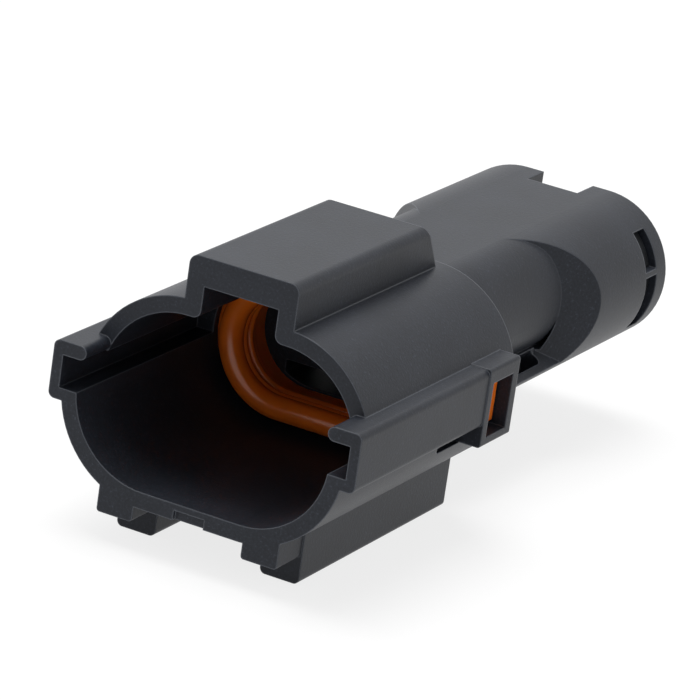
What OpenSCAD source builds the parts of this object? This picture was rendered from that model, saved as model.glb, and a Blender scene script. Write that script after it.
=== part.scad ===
// Pin-side housing of a sealed two-way automotive connector, with its seals and rear holder.
// Units are millimetres. The mating mouth faces -Y, the wires leave towards +Y and the rails stand on Z = 0.

/* [Overall] */
// Length from the mating face to the rear rim
total_len = 90.8; // [88:0.2:96]
// Height of the mating axis above the soles of the rails
axis_height = 17.3; // [16.6:0.1:19]

/* [Shroud] */
// Radius of the rounded ends of the shroud, outside
shroud_r = 12.1; // [11.9:0.1:12.4]
// Distance from the middle to the centre of each rounded end
shroud_cx = 6.4; // [6.1:0.1:6.7]
// Wall of the shroud
shroud_wall = 2; // [1.8:0.1:2.1]
// Length of the shroud
shroud_len = 42; // [41.5:0.1:43]
// How far the upper half stands back from the mating face
arch_setback = 5.4; // [4:0.1:7]
// Size of the shallow step at the foot of the mating face
step_size = [4, 1.2, 0.5]; // [0.2:0.1:5]

/* [Side guides] */
// Half width over the side guides
guide_half_w = 20.1; // [19.8:0.1:20.5]
// Outer wall of a side guide
guide_wall = 1.3; // [1:0.1:1.6]
// Height of the keyway inside a side guide
keyway_h = 3.95; // [3.4:0.05:4.2]
// Height of the keyway's floor over the mating axis
keyway_z = -0.9; // [-1.3:0.1:-0.6]
// Floor of a side guide
guide_floor = 1.45; // [1.1:0.05:1.8]
// Roof of a side guide
guide_roof = 1.7; // [1.4:0.05:2]
// Inner edge of the guide roof, from the middle
guide_nose_x = 15.8; // [15.5:0.1:16.2]
// Length of a side guide in front of its window frame
guide_len = 31.5; // [31:0.1:31.9]

/* [Window frames] */
// How far a window frame stands proud of the side guide
frame_proud = 0.15; // [0.05:0.05:0.4]
// Height of a window frame below its keyway's floor
frame_drop = 3.95; // [3.6:0.05:4.3]
// Bars of a window frame in front of, below and above its window
frame_bar = 1.1; // [0.8:0.1:1.4]
// Length of the window
window_len = 5.1; // [4.9:0.1:5.4]
// Length of the scooped relief in front of a window frame
scoop_len = 6.5; // [4:0.5:9]
// Depth of the relief in the shell
scoop_depth = 1.2; // [0.6:0.1:1.4]

/* [Latch housing] */
// Half width of the latch housing
latch_half_w = 7.15; // [6.9:0.05:7.4]
// Top of the latch housing over the mating axis
latch_top = 17.5; // [17.1:0.1:18.2]
// Radius along the top edges of the latch housing
latch_edge_r = 1.2; // [0.6:0.1:1.6]
// Half width of the latch tunnel
tunnel_half_w = 4.85; // [4.4:0.05:5.2]
// Depth of the catch bar that the mating latch hooks behind
catch_bar_h = 3.5; // [3.1:0.1:3.8]
// Length of the catch bar
catch_bar_len = 6; // [4:0.5:9]
// Roof of the latch housing behind the catch bar
latch_roof = 2; // [1.6:0.1:2.4]
// Length of the latch housing's top
latch_len = 31.3; // [30:0.1:32.5]
// Length of its sloping rear end
latch_slope = 3.3; // [2.5:0.1:4]

/* [Rails] */
// Inner side of a rail, from the middle
rail_x = 7; // [6.7:0.1:7.3]
// Width of a rail
rail_w = 5.1; // [4.6:0.1:5.4]
// Length of the short front foot of each rail
foot_len = 5.7; // [5:0.1:7]
// How much shorter the front foot is than the rail
foot_lift = 3.35; // [2.6:0.05:4]
// Rear end of the rails in front of the shroud's rear edge
rail_inset = 0.3; // [0.2:0.1:0.6]

/* [Terminal barrel] */
// Half width of the barrel
barrel_half_w = 12; // [11.8:0.1:12.2]
// Underside of the barrel, over the mating axis
barrel_low = -4.15; // [-4.4:0.05:-3.9]
// Radius of the barrel's upper corners
barrel_top_r = 5.2; // [4.9:0.1:5.5]
// Radius of the barrel's lower corners
barrel_low_r = 5.4; // [5.2:0.1:5.7]
// Wall of the barrel
barrel_wall = 1.3; // [1.2:0.1:1.6]
// Length of the blade space behind the interface seal
blade_space = 12; // [8:0.5:16]
// Half width of the ledge under each side of the barrel, where it meets the barrel
ledge_x = 11.4; // [11.2:0.1:11.6]
// Height of that point over the mating axis
ledge_z = -3.35; // [-3.6:0.05:-3.1]
// Slope of the ledge
ledge_slope = 33; // [29:1:36]
// Length of the slot in the ledge
ledge_slot_len = 14; // [8:0.5:16]
// Width of the slot in the ledge
ledge_slot_w = 1.9; // [1.4:0.1:2.1]
// Width of the rib beside the slot
ledge_rib_w = 1.1; // [0.9:0.1:1.3]

/* [Rear collar] */
// Radius of the two lobes of the collar
collar_r = 9.45; // [9.3:0.05:9.6]
// Distance from the middle to the centre of each lobe, and of each wire
lobe_cx = 5.85; // [5.7:0.05:6]
// Height of the wires over the mating axis
wire_z = 1.15; // [1:0.05:1.3]
// Wall of the collar
collar_wall = 1.6; // [1.5:0.05:1.9]
// Depth of the bore for the rear holder
collar_bore = 17.3; // [17:0.1:18.5]
// Distance from the rear rim to the raked shoulder at the collar's widest point
shoulder_from_rim = 19.2; // [18.4:0.1:20]
// Rake of the shoulder, from square across the collar
shoulder_rake = 55.9; // [50:0.5:58]
// Lean of the shoulder
shoulder_lean = 12.8; // [10:0.5:15]
// Half width of the key notch in the rear rim
notch_half_w = 3.5; // [3:0.1:4]
// Depth of the key notch
notch_len = 4.6; // [3.6:0.1:5.6]
// Distance from the rear rim to the lock windows
lock_from_rim = 2.7; // [2.4:0.1:3.2]
// Length of a lock window
lock_len = 3.1; // [2.8:0.1:3.3]
// Heights of the lower and the upper lock window over the wires, with the thin web between them
lock_low = [-5.5, 1.5]; // [-6:0.1:2]
lock_high = [2.2, 6.8]; // [2:0.1:7]

/* [Terminal chambers] */
// Wall between the two terminal chambers
septum = 1.4; // [1.2:0.1:2.2]
// Radius of the passage from a chamber to the wire seal
passage_r = 3.7; // [3.3:0.1:3.9]
// Wall between the chambers and the wire seal
passage_wall = 1.3; // [1.2:0.1:2]

/* [Interface seal] */
// Radius of the seal's rounded ends, outside
seal_r = 9.15; // [9.05:0.05:9.3]
// Thickness of the seal's front bulb
seal_bulb = 3; // [2.7:0.1:3.2]
// Distance from the mating face to the seal
seal_y = 30; // [29.5:0.1:30.3]
// Length of the seal
seal_len = 8.6; // [8.4:0.1:8.8]
// Length of the seal in front of its seat
seal_free = 4.4; // [4:0.1:4.8]
// Number of ribs inside the seal
seal_ribs = 3; // [2:1:4]
// Spacing of the ribs
seal_rib_pitch = 1.45; // [1.2:0.05:1.5]
// Radius of a rib
seal_rib_r = 0.5; // [0.3:0.05:0.6]
// Clearance round the seal in its seat
seal_clear = 0.05; // [0.02:0.01:0.1]
// Clearance round the seal's lugs
lug_clear = 0.3; // [0.2:0.05:0.5]

/* [Wire seal] */
// Radius of the wire seal's two lobes
wire_seal_r = 4.2; // [4.1:0.05:4.3]
// Length of the wire seal
wire_seal_len = 5.4; // [4.8:0.1:6]
// Depth of its ribs
wire_rib = 0.4; // [0.3:0.05:0.5]
// Radius of a wire hole
wire_hole_r = 2.6; // [2.4:0.05:2.7]
// Number of ribs along the wire seal
wire_ribs = 2; // [2:1:3]

/* [Rear holder] */
// Radius of a wire opening
holder_hole_r = 3.6; // [3.3:0.1:3.9]
// Length of the sleeve round each wire opening
sleeve_len = 3.3; // [3:0.1:6]
// Clearance between the holder and the collar
holder_clear = 0.15; // [0.1:0.05:0.25]
// Distance from the rear rim to the ends of the holder's arms
holder_inset = 1.4; // [1:0.1:1.8]
// Thickness of the holder's plate
holder_plate = 1.3; // [1.1:0.1:1.6]
// Thickness of the arms and the sleeves
holder_wall = 1.1; // [1:0.1:1.3]
// Half height of the arms
arm_half_h = 7; // [4:0.1:7.2]
// How far a lock tab stands out of an arm
tab_out = 0.8; // [0.6:0.1:1.1]

/* [Hidden] */
$fn = 96;

// How far cutting shapes run past the faces that they cut
over = 1;
plastic = [0.16, 0.17, 0.19];
silicone = [0.85, 0.33, 0.07];

cavity_r = shroud_r - shroud_wall;
keyway_top = keyway_z + keyway_h;
guide_low = keyway_z - guide_floor;
guide_top = keyway_top + guide_roof;
guide_edge_r = 0.8;
frame_half_w = guide_half_w + frame_proud;
frame_low = keyway_z - frame_drop;
window_low = frame_low + frame_bar;
window_y = guide_len + frame_bar;
frame_end = window_y + window_len + frame_bar + 0.2;
seal_seat = seal_y + seal_free;
seal_end = seal_y + seal_len;
blade_end = seal_end + blade_space;
latch_y = arch_setback;
latch_end = latch_y + latch_len;
tunnel_end = latch_end - 2.4;
barrel_top = wire_z + collar_r;
bore_r = collar_r - collar_wall;
bore_y = total_len - collar_bore;
shoulder_y = total_len - shoulder_from_rim;
lock_end = total_len - lock_from_rim;
lock_y = lock_end - lock_len;
holder_end = total_len - holder_inset;
pocket_y = bore_y - wire_seal_len;
holder_y = bore_y + 0.1;
holder_r = bore_r - holder_clear;

// ---- helpers ----------------------------------------------------------------

// Both sides of a shape that is drawn on the +X side
module both_sides() {
    children();
    mirror([1, 0, 0]) children();
}

// A profile drawn in X and Z, run along Y
module along_y(y0, y1) {
    translate([0, y1, 0]) rotate([90, 0, 0]) linear_extrude(y1 - y0) children();
}

// A profile drawn in Y and Z, run along X
module along_x(x0, x1) {
    translate([x0, 0, 0]) rotate([90, 0, 90]) linear_extrude(x1 - x0) children();
}

module stadium(cx, r) {
    square([2 * cx, 2 * r], center = true);
    both_sides() translate([cx, 0]) circle(r);
}

module rect(x0, x1, z0, z1) {
    translate([x0, z0]) square([x1 - x0, z1 - z0]);
}

module rounded_rect(x0, x1, z0, z1, r) {
    rect(x0 + r, x1 - r, z0, z1);
    rect(x0, x1, z0 + r, z1 - r);
    for (x = [x0 + r, x1 - r], z = [z0 + r, z1 - r]) translate([x, z]) circle(r);
}

// A ring whose section, drawn as radius and Y, runs round a stadium
module stadium_ring(cx) {
    for (s = [0, 180]) rotate([0, s, 0]) {
        translate([cx, 0, 0]) rotate([-90, 0, 0]) rotate([0, 0, -90]) rotate_extrude(angle = 180) children();
        translate([cx, 0, 0]) rotate([0, -90, 0]) linear_extrude(2 * cx) children();
    }
}

// ---- housing: shroud ----------------------------------------------------------

module guide_profile() {
    nose_r = guide_roof / 2;
    both_sides() {
        difference() {
            rounded_rect(shroud_cx, guide_half_w, guide_low, guide_top, guide_edge_r);
            rect(0, guide_half_w - guide_wall, keyway_z, keyway_top);
            rect(0, guide_nose_x + nose_r, keyway_z, guide_top + over);
            translate([shroud_cx, 0]) circle(cavity_r);
        }
        translate([guide_nose_x + nose_r, guide_top - nose_r]) circle(nose_r);
    }
}

// Lower half of the shell, up to the keyways' floor
module lower_profile() {
    difference() {
        stadium(shroud_cx, shroud_r);
        stadium(shroud_cx, cavity_r);
        rect(-guide_half_w, guide_half_w, keyway_z, shroud_r + over);
    }
}

module arch_profile() {
    difference() {
        stadium(shroud_cx, shroud_r);
        stadium(shroud_cx, cavity_r);
        rect(-guide_half_w, guide_half_w, -shroud_r - over, keyway_top);
    }
}

module window_frames() {
    both_sides() along_y(guide_len, frame_end)
        rounded_rect(shroud_cx, frame_half_w, frame_low, guide_top + frame_proud, guide_edge_r / 2);
}

// Relief that runs out into the shell in front of each window frame
module frame_scoops() {
    r = (guide_low - frame_low) / 2;
    mid_z = frame_low + r;
    shell_x = shroud_cx + sqrt(shroud_r * shroud_r - mid_z * mid_z);
    both_sides() translate([shell_x - scoop_depth, guide_len - scoop_len + r, mid_z])
        rotate([0, 90, 0]) {
            cylinder(r = r, h = guide_half_w - shell_x + scoop_depth + over);
            translate([-r, 0, 0])
                cube([2 * r, scoop_len - r, guide_half_w - shell_x + scoop_depth + over]);
        }
}

module latch_body() {
    intersection() {
        along_y(latch_y, shroud_len)
            rounded_rect(-latch_half_w, latch_half_w, 0, latch_top, latch_edge_r);
        along_x(-latch_half_w, latch_half_w) polygon([
            [latch_y, cavity_r],
            [latch_y, latch_top],
            [latch_end, latch_top],
            [latch_end + latch_slope, shroud_r],
            [shroud_len, cavity_r]
        ]);
    }
}

// Tunnel for the mating latch arm: low under the catch bar, higher behind it
module latch_tunnel() {
    lip_r = 1;
    along_y(-over, tunnel_end) {
        rect(-tunnel_half_w, tunnel_half_w, 0, latch_top - catch_bar_h);
        both_sides() translate([tunnel_half_w, cavity_r]) difference() {
            translate([0, -over]) square([lip_r, lip_r + over]);
            translate([lip_r, lip_r]) circle(lip_r);
        }
    }
    along_y(latch_y + catch_bar_len, tunnel_end)
        rect(-tunnel_half_w, tunnel_half_w, 0, latch_top - latch_roof);
}

module rails() {
    sole = -axis_height;
    both_sides() {
        along_y(foot_len, shroud_len - rail_inset) difference() {
            rounded_rect(rail_x, rail_x + rail_w, sole, -cavity_r / 2, 0.7);
            stadium(shroud_cx, cavity_r + shroud_wall / 2);
        }
        along_y(0, foot_len) difference() {
            rounded_rect(rail_x + 0.2, rail_x + rail_w - 0.2, sole + foot_lift, -cavity_r / 2, 0.4);
            stadium(shroud_cx, cavity_r + shroud_wall / 2);
        }
    }
}

module shroud() {
    along_y(0, shroud_len) lower_profile();
    along_y(0, frame_end) guide_profile();
    along_y(arch_setback, shroud_len) arch_profile();
    along_y(seal_seat, shroud_len) stadium(shroud_cx, shroud_r - shroud_wall / 2);
    window_frames();
    latch_body();
    rails();
}

// Everything that is open inside the shroud
module shroud_space() {
    along_y(-over, seal_seat) stadium(shroud_cx, cavity_r);
    along_y(seal_seat - over, seal_end) stadium(shroud_cx, seal_r + seal_clear);
    both_sides() {
        along_y(-over, guide_len)
            rect(shroud_cx, guide_half_w - guide_wall, keyway_z, keyway_top);
        along_y(window_y, window_y + window_len)
            rect(shroud_cx, frame_half_w + over, window_low, keyway_top);
    }
}

// ---- housing: barrel and collar -------------------------------------------------

// Flat top, rounded upper corners, slightly bowed sides and rounder lower corners.
// With an inset it is the same outline, that far inside the barrel's.
module barrel_profile(inset = 0) {
    top_cx = lobe_cx - 0.2;
    top_cz = barrel_top - barrel_top_r;
    low_cx = barrel_half_w - barrel_low_r;
    low_cz = barrel_low + barrel_low_r;
    // the side arc meets the upper corner smoothly and stands upright at the lower corner
    k = barrel_half_w - top_cx;
    h = top_cz - low_cz;
    side_r = (k * k + h * h - barrel_top_r * barrel_top_r) / (2 * (k - barrel_top_r));
    meet = h * (side_r - inset) / (side_r - barrel_top_r);
    both_sides() {
        intersection() {
            translate([barrel_half_w - side_r, low_cz]) circle(side_r - inset);
            rect(0, barrel_half_w, low_cz, low_cz + meet);
        }
        translate([top_cx, top_cz]) circle(barrel_top_r - inset);
        translate([low_cx, low_cz]) circle(barrel_low_r - inset);
        rect(0, top_cx, low_cz, barrel_top - inset);
        rect(0, low_cx, barrel_low + inset, low_cz + over);
    }
}

module collar_profile(r = collar_r) {
    translate([0, wire_z]) stadium(lobe_cx, r);
}

// The half space in front of the raked shoulder on the +X side
module ahead_of_shoulder() {
    span = 3 * collar_r;
    translate([lobe_cx + collar_r, shoulder_y, wire_z])
        rotate([0, -shoulder_lean, 0]) rotate([0, 0, shoulder_rake])
            translate([-2 * span, -2 * span, -span]) cube([3 * span, 2 * span, 2 * span]);
}

// The half space over the ledge on the +X side
module above_ledge() {
    span = 3 * collar_r;
    translate([ledge_x, shroud_len, ledge_z]) rotate([0, ledge_slope, 0])
        translate([-span, -span, 0]) cube([2 * span, 3 * span, span]);
}

module collar() {
    difference() {
        along_y(shroud_len - shroud_wall, total_len) collar_profile();
        both_sides() intersection() {
            ahead_of_shoulder();
            above_ledge();
        }
    }
}

// Round-ended slot in the ledge and the clearance that runs on under the barrel's lower corner
module ledge_openings() {
    slot_end = shoulder_y - 8.6;
    depth = 4;
    both_sides() {
        translate([ledge_x + 0.3, slot_end, ledge_z]) rotate([0, ledge_slope, 0])
            translate([0, -ledge_slot_w / 2, -depth]) {
                cylinder(d = ledge_slot_w, h = depth + over);
                translate([-ledge_slot_w / 2, -ledge_slot_len, 0])
                    cube([ledge_slot_w, ledge_slot_len, depth + over]);
            }
    }
}

// The gap that shows behind the rib, under the lower corner of the barrel
module corner_gap() {
    gap_y = shoulder_y - 8.4;
    both_sides() along_y(gap_y, bore_y - 1.6) difference() {
        intersection() {
            translate([barrel_half_w - 12.8, barrel_low + barrel_low_r]) circle(12.8);
            rect(barrel_half_w - 2.6, barrel_half_w, ledge_z + 0.4, barrel_low + barrel_low_r);
        }
        barrel_profile();
    }
}

module ledge_rib() {
    both_sides() along_y(shroud_len - shroud_wall, shoulder_y - 8.4)
        translate([ledge_x - ledge_rib_w - 0.3, ledge_z - over])
            square([ledge_rib_w, over + 0.9]);
}

module rear_body() {
    difference() {
        union() {
            along_y(shroud_len - shroud_wall, bore_y) barrel_profile();
            collar();
            ledge_rib();
        }
        ledge_openings();
        corner_gap();
    }
}

// Two chambers side by side, each with a round passage to the wire seal
module chambers() {
    along_y(blade_end - over, pocket_y - passage_wall) difference() {
        barrel_profile(barrel_wall);
        rect(-septum / 2, septum / 2, barrel_low, barrel_top);
    }
    both_sides() along_y(blade_end, pocket_y + over) translate([lobe_cx, wire_z]) circle(passage_r);
}

// Coring that keeps the wall even above the wire seal
module seal_coring() {
    along_y(pocket_y, bore_y + over) intersection() {
        barrel_profile(barrel_wall);
        both_sides() rect(septum / 2, lobe_cx + wire_seal_r, wire_z + wire_seal_r + barrel_wall, barrel_top);
    }
}

// The space round the blades, behind the interface seal
module blade_room() {
    along_y(seal_end - over, blade_end) barrel_profile(barrel_wall);
}

// Core under the barrel, which the slots in the ledges open into
module under_barrel_core() {
    along_y(seal_end - over, bore_y - collar_wall) difference() {
        intersection() {
            collar_profile(bore_r);
            rect(-ledge_x + collar_wall, ledge_x - collar_wall, -shroud_r, barrel_low);
        }
        barrel_profile();
    }
}

module lock_windows() {
    both_sides() for (span = [lock_low, lock_high])
        translate([lobe_cx, lock_y, wire_z + span[0]])
            cube([collar_r + over, lock_len, span[1] - span[0]]);
}

module rear_space() {
    along_y(bore_y, total_len + over) collar_profile(bore_r);
    along_y(pocket_y, bore_y + over) collar_profile(wire_seal_r);
    translate([-notch_half_w, total_len - notch_len, wire_z + bore_r - over])
        cube([2 * notch_half_w, notch_len + over, collar_wall + 2 * over]);
    under_barrel_core();
    lock_windows();
    seal_coring();
    chambers();
    blade_room();
}

module housing() {
    color(plastic) difference() {
        union() {
            shroud();
            rear_body();
        }
        shroud_space();
        latch_tunnel();
        rear_space();
        frame_scoops();
        translate([-step_size[0] / 2, -over, -shroud_r]) cube([step_size[0], over + step_size[2], step_size[1]]);
    }
}

// ---- seals and rear holder -------------------------------------------------------

// Section of the interface seal: a round front bulb, a body and ribs on its inner face
module seal_section() {
    bulb_r = seal_bulb / 2;
    bulb_c = seal_r - bulb_r;
    inner = seal_r - seal_bulb + seal_rib_r * 0.9;
    rear_inner = seal_r - seal_bulb + 0.85;
    first = seal_y + bulb_r - 0.2;
    ribs_end = first + seal_rib_pitch * seal_ribs;
    translate([bulb_c, seal_y + bulb_r]) circle(bulb_r);
    rect(inner, seal_r, seal_y + bulb_r, ribs_end);
    rect(rear_inner, seal_r, seal_y + bulb_r, seal_end);
    for (i = [1 : seal_ribs - 1])
        translate([seal_r - seal_bulb + seal_rib_r, first + seal_rib_pitch * i]) circle(seal_rib_r);
}

module interface_seal() {
    color(silicone) {
        stadium_ring(shroud_cx) seal_section();
        both_sides() translate([shroud_cx + seal_r - 0.8, window_y + lug_clear, window_low + 2 * lug_clear])
            cube([guide_half_w - guide_wall - lug_clear - shroud_cx - seal_r + 0.8,
                window_len - 2 * lug_clear,
                keyway_top - window_low - 3 * lug_clear]);
    }
}

// Two-lobed silicone block with sealing ribs outside and in its two wire holes
module wire_seal() {
    end = bore_y - seal_clear;
    start = pocket_y + seal_clear;
    pitch = (end - start) / wire_ribs;
    rib_r = pitch / 4;
    color(silicone) translate([0, 0, wire_z]) difference() {
        union() {
            along_y(start, end) stadium(lobe_cx, wire_seal_r - seal_clear - wire_rib);
            stadium_ring(lobe_cx) for (i = [0 : wire_ribs - 1])
                translate([wire_seal_r - seal_clear - rib_r, start + pitch * (i + 0.5)]) circle(rib_r);
        }
        both_sides() translate([lobe_cx, 0, 0]) rotate([-90, 0, 0]) rotate_extrude() difference() {
            rect(0, wire_hole_r, start - over, end + over);
            for (i = [0 : wire_ribs - 1])
                translate([wire_hole_r + rib_r - wire_rib, start + pitch * (i + 0.5)]) circle(rib_r);
        }
    }
}

// Section of an arm, or of a lock tab at a larger radius
module arm_profile(outer, inner, low, high) {
    intersection() {
        difference() {
            stadium(lobe_cx, outer);
            stadium(lobe_cx, inner);
        }
        rect(lobe_cx, lobe_cx + collar_r, low, high);
    }
}

// Plate that holds the wire seal, with a sleeve round each wire and two sprung arms
module rear_holder() {
    gap = holder_clear + 0.05;
    color(plastic) translate([0, 0, wire_z]) {
        along_y(holder_y, holder_y + holder_plate) difference() {
            stadium(lobe_cx, holder_r);
            both_sides() translate([lobe_cx, 0]) circle(holder_hole_r);
        }
        both_sides() {
            along_y(holder_y, holder_y + sleeve_len) translate([lobe_cx, 0]) difference() {
                circle(holder_hole_r + holder_wall);
                circle(holder_hole_r);
            }
            along_y(holder_y, holder_end)
                arm_profile(holder_r, holder_r - holder_wall, -arm_half_h, arm_half_h);
            for (span = [lock_low, lock_high]) along_y(lock_y + gap, lock_end - gap)
                arm_profile(holder_r + tab_out, holder_r - holder_wall,
                    max(span[0] + gap, -arm_half_h), min(span[1] - gap, arm_half_h));
        }
    }
}

// The model's origin is on the floor, under the middle of its length
module place() {
    translate([0, -total_len / 2, axis_height]) children();
}

place() housing();
place() interface_seal();
place() wire_seal();
place() rear_holder();
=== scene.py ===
"""Studio scene of the sealed two-way connector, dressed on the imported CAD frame."""

import bpy
from mathutils import Matrix, Vector

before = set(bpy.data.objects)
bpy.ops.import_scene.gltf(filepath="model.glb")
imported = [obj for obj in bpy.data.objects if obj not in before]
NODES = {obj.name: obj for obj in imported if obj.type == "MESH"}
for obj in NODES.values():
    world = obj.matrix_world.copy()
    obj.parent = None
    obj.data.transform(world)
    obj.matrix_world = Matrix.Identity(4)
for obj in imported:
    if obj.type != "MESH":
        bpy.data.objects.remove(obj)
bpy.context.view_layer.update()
scene = bpy.context.scene

# Lengths are in metres, lamp powers in watts and colours in linear RGB.

# ---- looks ------------------------------------------------------------------

HOUSING_LOOK = {
    "colour": (0.0165, 0.019, 0.0255),
    # lighter colour painted on the edges as a highlight
    "highlight_colour": (0.11, 0.12, 0.14),
    "roughness": 0.42,
    "grain": 0.55,
    "bevel": 0.0003,
}
HOLDER_LOOK = {
    "colour": (0.011, 0.012, 0.014),
    # lighter colour painted on the edges as a highlight
    "highlight_colour": (0.03, 0.031, 0.034),
    "roughness": 0.5,
    "grain": 0.4,
    "bevel": 0.0002,
}
SEAL_COLOUR = (0.83, 0.17, 0.012)
SEAL_BEVEL = 0.00012

PLASTIC_SPECULAR = 0.22
GRAIN_SCALE = 3000.0
GRAIN_HEIGHT = 0.00005
CLOUD_SCALE = 110.0
CLOUD_SHADES = ((0.3, 0.85), (0.7, 1.15))
SPECK_SHADES = ((0.3, 0.75), (0.6, 1.1), (0.72, 2.2))
ROUGHNESS_SPREAD = 0.07
# cosines of the angle at which the painted edge highlight begins and is strongest
EDGE_BEGINS = 0.995
EDGE_FULL = 0.86
EDGE_HIGHLIGHT_SHARE = 0.8

SEAL_CLOUD_SCALE = 220.0
SEAL_SHADES = ((0.0, 0.9), (1.0, 1.1))
SEAL_ROUGHNESS = (0.14, 0.24)
SEAL_SCATTER = 0.15
SEAL_SCATTER_RADIUS = (0.0012, 0.0004, 0.0001)

# ---- camera and studio ------------------------------------------------------

SENSOR_WIDTH = 36.0
LENS = 267.6
CLIP_NEAR = 0.01
CLIP_FAR = 10.0
CAMERA_PLACE = (0.253328, -0.534521, 0.216582)
CAMERA_FORWARD = (-0.41177, 0.85220, -0.32279)
CAMERA_RIGHT = (0.87001, 0.47303, 0.13900)

WHITE = (1, 1, 1, 1)
FLOOR_HALF = 3.0
FLOOR_COLOUR = (0.93, 0.93, 0.93, 1)
FLOOR_ROUGHNESS = 0.9
FLOOR_SPECULAR = 0.1
FLOOR_GLOW_SHARE = 0.8
WORLD_FILL = 0.4
WORLD_SEEN = 1.0
LAMP_TARGET = (0, 0, 0.015)
# name: place, side, power
LAMPS = {
    "top_box": ((-0.15, 0.1, 0.7), 0.5, 6.0),
    "left_box": ((-0.6, -0.35, 0.3), 0.35, 0.8),
}


# ---- small helpers ----------------------------------------------------------


def new_material(name):
    """A node material with its output and Principled shader linked."""
    mat = bpy.data.materials.new(name)
    mat.use_nodes = True
    tree = mat.node_tree
    tree.nodes.clear()
    out = tree.nodes.new("ShaderNodeOutputMaterial")
    shader = tree.nodes.new("ShaderNodeBsdfPrincipled")
    tree.links.new(shader.outputs["BSDF"], out.inputs["Surface"])
    return mat, tree, shader


def add(tree, kind, **values):
    """A node with its sockets set by name."""
    node = tree.nodes.new(kind)
    for key, value in values.items():
        node.inputs[key.replace("_", " ")].default_value = value
    return node


def dress(obj, mat):
    """Makes one material the object's only one."""
    obj.data.materials.clear()
    obj.data.materials.append(mat)


def shade(colour, factor):
    """A colour made lighter or darker, as RGBA."""
    return (*[min(1.0, c * factor) for c in colour], 1)


def ramp(tree, factor, stops):
    """The colour output of a ramp with the given (position, RGBA) stops."""
    node = tree.nodes.new("ShaderNodeValToRGB")
    elements = node.color_ramp.elements
    while len(elements) < len(stops):
        elements.new(1.0)
    for element, (position, colour) in zip(elements, stops):
        element.position = position
        element.color = colour
    tree.links.new(factor, node.inputs["Fac"])
    return node.outputs["Color"]


def colour_mix(tree, how):
    """A colour mix at full strength until its factor is linked."""
    node = tree.nodes.new("ShaderNodeMix")
    node.data_type = "RGBA"
    node.blend_type = how
    node.inputs["Factor"].default_value = 1.0
    return node


def rounded_normal(tree, radius, samples):
    """The normal output of a bevel node."""
    node = tree.nodes.new("ShaderNodeBevel")
    node.samples = samples
    node.inputs["Radius"].default_value = radius
    return node.outputs["Normal"]


# ---- materials --------------------------------------------------------------

def moulded_plastic(name, colour, highlight_colour, roughness, grain, bevel):
    """Moulded plastic with grain, specks, faint clouds and a painted highlight on its
    edges.
    """
    mat, tree, shader = new_material(name)
    shader.inputs["Specular IOR Level"].default_value = PLASTIC_SPECULAR
    link = tree.links.new
    place = tree.nodes.new("ShaderNodeTexCoord")
    fine = add(tree, "ShaderNodeTexNoise",
               Scale=GRAIN_SCALE, Detail=3.0, Roughness=0.65)
    broad = add(tree, "ShaderNodeTexNoise",
                Scale=CLOUD_SCALE, Detail=4.0, Roughness=0.55)
    for noise in (fine, broad):
        link(place.outputs["Object"], noise.inputs["Vector"])

    clouds = ramp(tree, broad.outputs["Fac"],
                  [(at, shade(colour, f)) for at, f in CLOUD_SHADES])
    specks = ramp(tree, fine.outputs["Fac"],
                  [(at, (f, f, f, 1)) for at, f in SPECK_SHADES])
    speckled = colour_mix(tree, "MULTIPLY")
    link(clouds, speckled.inputs["A"])
    link(specks, speckled.inputs["B"])

    # an edge is where the rounded normal leaves the face's own normal; there the base
    # colour is lightened as a painted highlight
    soft = rounded_normal(tree, bevel, 8)
    face = tree.nodes.new("ShaderNodeNewGeometry")
    agree = tree.nodes.new("ShaderNodeVectorMath")
    agree.operation = "DOT_PRODUCT"
    link(soft, agree.inputs[0])
    link(face.outputs["Normal"], agree.inputs[1])
    edge = add(tree, "ShaderNodeMapRange", From_Min=EDGE_BEGINS,
               From_Max=EDGE_FULL, To_Min=0.0, To_Max=EDGE_HIGHLIGHT_SHARE)
    link(agree.outputs["Value"], edge.inputs["Value"])
    # painted highlight: edges are mixed towards the lighter highlight colour
    painted_highlight = colour_mix(tree, "MIX")
    link(edge.outputs["Result"], painted_highlight.inputs["Factor"])
    link(speckled.outputs["Result"], painted_highlight.inputs["A"])
    painted_highlight.inputs["B"].default_value = (*highlight_colour, 1)
    link(painted_highlight.outputs["Result"], shader.inputs["Base Color"])

    rough = add(tree, "ShaderNodeMapRange",
                To_Min=roughness - ROUGHNESS_SPREAD,
                To_Max=roughness + ROUGHNESS_SPREAD)
    link(fine.outputs["Fac"], rough.inputs["Value"])
    link(rough.outputs["Result"], shader.inputs["Roughness"])
    bump = add(tree, "ShaderNodeBump", Strength=grain, Distance=GRAIN_HEIGHT)
    link(fine.outputs["Fac"], bump.inputs["Height"])
    link(soft, bump.inputs["Normal"])
    link(bump.outputs["Normal"], shader.inputs["Normal"])
    return mat


def silicone(name, colour, bevel):
    """Smooth silicone rubber with an oily gloss and a little light inside."""
    mat, tree, shader = new_material(name)
    link = tree.links.new
    place = tree.nodes.new("ShaderNodeTexCoord")
    cloud = add(tree, "ShaderNodeTexNoise",
                Scale=SEAL_CLOUD_SCALE, Detail=3.0, Roughness=0.5)
    link(place.outputs["Object"], cloud.inputs["Vector"])
    tint = ramp(tree, cloud.outputs["Fac"],
                [(at, shade(colour, f)) for at, f in SEAL_SHADES])
    link(tint, shader.inputs["Base Color"])
    low, high = SEAL_ROUGHNESS
    rough = add(tree, "ShaderNodeMapRange", To_Min=low, To_Max=high)
    link(cloud.outputs["Fac"], rough.inputs["Value"])
    link(rough.outputs["Result"], shader.inputs["Roughness"])
    shader.inputs["Subsurface Weight"].default_value = SEAL_SCATTER
    shader.inputs["Subsurface Radius"].default_value = SEAL_SCATTER_RADIUS
    link(rounded_normal(tree, bevel, 6), shader.inputs["Normal"])
    return mat


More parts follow.
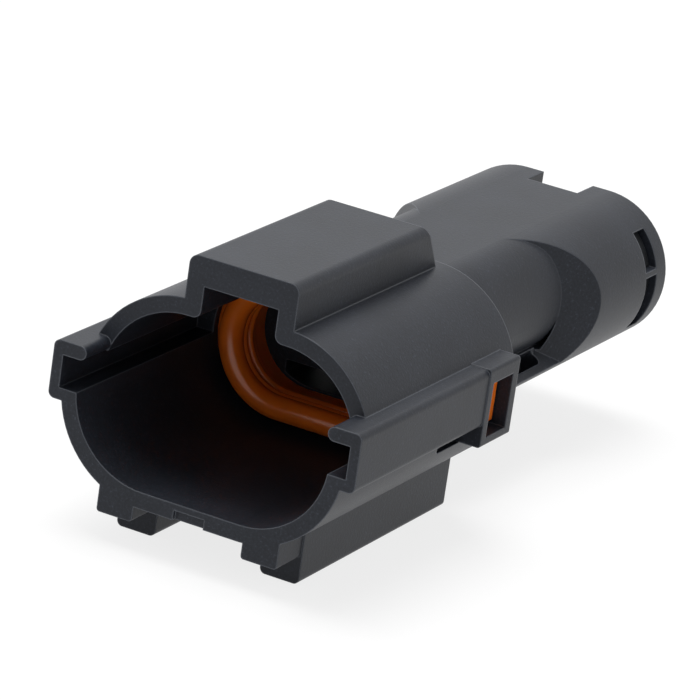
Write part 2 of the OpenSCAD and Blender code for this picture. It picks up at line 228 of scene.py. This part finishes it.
def dress_nodes():
    """Gives each CAD node its material."""
    housing = moulded_plastic("housing_plastic", **HOUSING_LOOK)
    holder = moulded_plastic("holder_plastic", **HOLDER_LOOK)
    seal = silicone("seal_silicone", SEAL_COLOUR, SEAL_BEVEL)
    dress(NODES["housing"], housing)
    dress(NODES["rear_holder"], holder)
    dress(NODES["interface_seal"], seal)
    dress(NODES["wire_seal"], seal)


# ---- camera and studio ------------------------------------------------------

def make_camera():
    """The camera that the proportions were solved with."""
    cam = bpy.data.cameras.new("camera")
    cam.sensor_width = SENSOR_WIDTH
    cam.lens = LENS
    cam.clip_start = CLIP_NEAR
    cam.clip_end = CLIP_FAR
    obj = bpy.data.objects.new("camera", cam)
    scene.collection.objects.link(obj)
    forward = Vector(CAMERA_FORWARD).normalized()
    right = Vector(CAMERA_RIGHT)
    right = (right - forward * right.dot(forward)).normalized()
    up = right.cross(forward)
    turn = Matrix((right, up, -forward)).transposed().to_4x4()
    obj.matrix_world = Matrix.Translation(CAMERA_PLACE) @ turn
    scene.camera = obj


def background_rays(tree):
    """1 for camera, glossy and transmission rays, which see the background."""
    path = tree.nodes.new("ShaderNodeLightPath")
    value = path.outputs["Is Camera Ray"]
    for ray in ("Is Glossy Ray", "Is Transmission Ray"):
        either = tree.nodes.new("ShaderNodeMath")
        either.operation = "MAXIMUM"
        tree.links.new(value, either.inputs[0])
        tree.links.new(path.outputs[ray], either.inputs[1])
        value = either.outputs["Value"]
    return value


def make_floor():
    """Flat pale floor that looks white and keeps a light shadow."""
    h = FLOOR_HALF
    mesh = bpy.data.meshes.new("floor")
    mesh.from_pydata([(-h, -h, 0), (h, -h, 0), (h, h, 0), (-h, h, 0)],
                     [], [(0, 1, 2, 3)])
    obj = bpy.data.objects.new("floor", mesh)
    scene.collection.objects.link(obj)
    mat, tree, shader = new_material("floor_white")
    shader.inputs["Base Color"].default_value = FLOOR_COLOUR
    shader.inputs["Roughness"].default_value = FLOOR_ROUGHNESS
    shader.inputs["Specular IOR Level"].default_value = FLOOR_SPECULAR
    white = add(tree, "ShaderNodeEmission", Color=WHITE, Strength=1.0)
    share = add(tree, "ShaderNodeMapRange",
                To_Min=0.0, To_Max=FLOOR_GLOW_SHARE)
    tree.links.new(background_rays(tree), share.inputs["Value"])
    mixed = tree.nodes.new("ShaderNodeMixShader")
    tree.links.new(share.outputs["Result"], mixed.inputs["Fac"])
    tree.links.new(shader.outputs["BSDF"], mixed.inputs[1])
    tree.links.new(white.outputs["Emission"], mixed.inputs[2])
    out = next(n for n in tree.nodes
               if n.bl_idname == "ShaderNodeOutputMaterial")
    tree.links.new(mixed.outputs["Shader"], out.inputs["Surface"])
    dress(obj, mat)


def area_light(name, place, side, power):
    """A square softbox that faces the part."""
    data = bpy.data.lights.new(name, "AREA")
    data.shape = "RECTANGLE"
    data.size = data.size_y = side
    data.energy = power
    obj = bpy.data.objects.new(name, data)
    scene.collection.objects.link(obj)
    obj.location = place
    aim = Vector(LAMP_TARGET) - Vector(place)
    obj.rotation_euler = aim.to_track_quat("-Z", "Y").to_euler()


def make_light():
    """A white world, a large overhead box and a low fill from the left."""
    world = bpy.data.worlds.new("world")
    scene.world = world
    world.use_nodes = True
    tree = world.node_tree
    back = tree.nodes["Background"]
    back.inputs["Color"].default_value = WHITE
    level = add(tree, "ShaderNodeMapRange",
                To_Min=WORLD_FILL, To_Max=WORLD_SEEN)
    tree.links.new(background_rays(tree), level.inputs["Value"])
    tree.links.new(level.outputs["Result"], back.inputs["Strength"])
    for name, (place, side, power) in LAMPS.items():
        area_light(name, place, side, power)


dress_nodes()
make_camera()
make_floor()
make_light()
scene.view_settings.view_transform = "Standard"
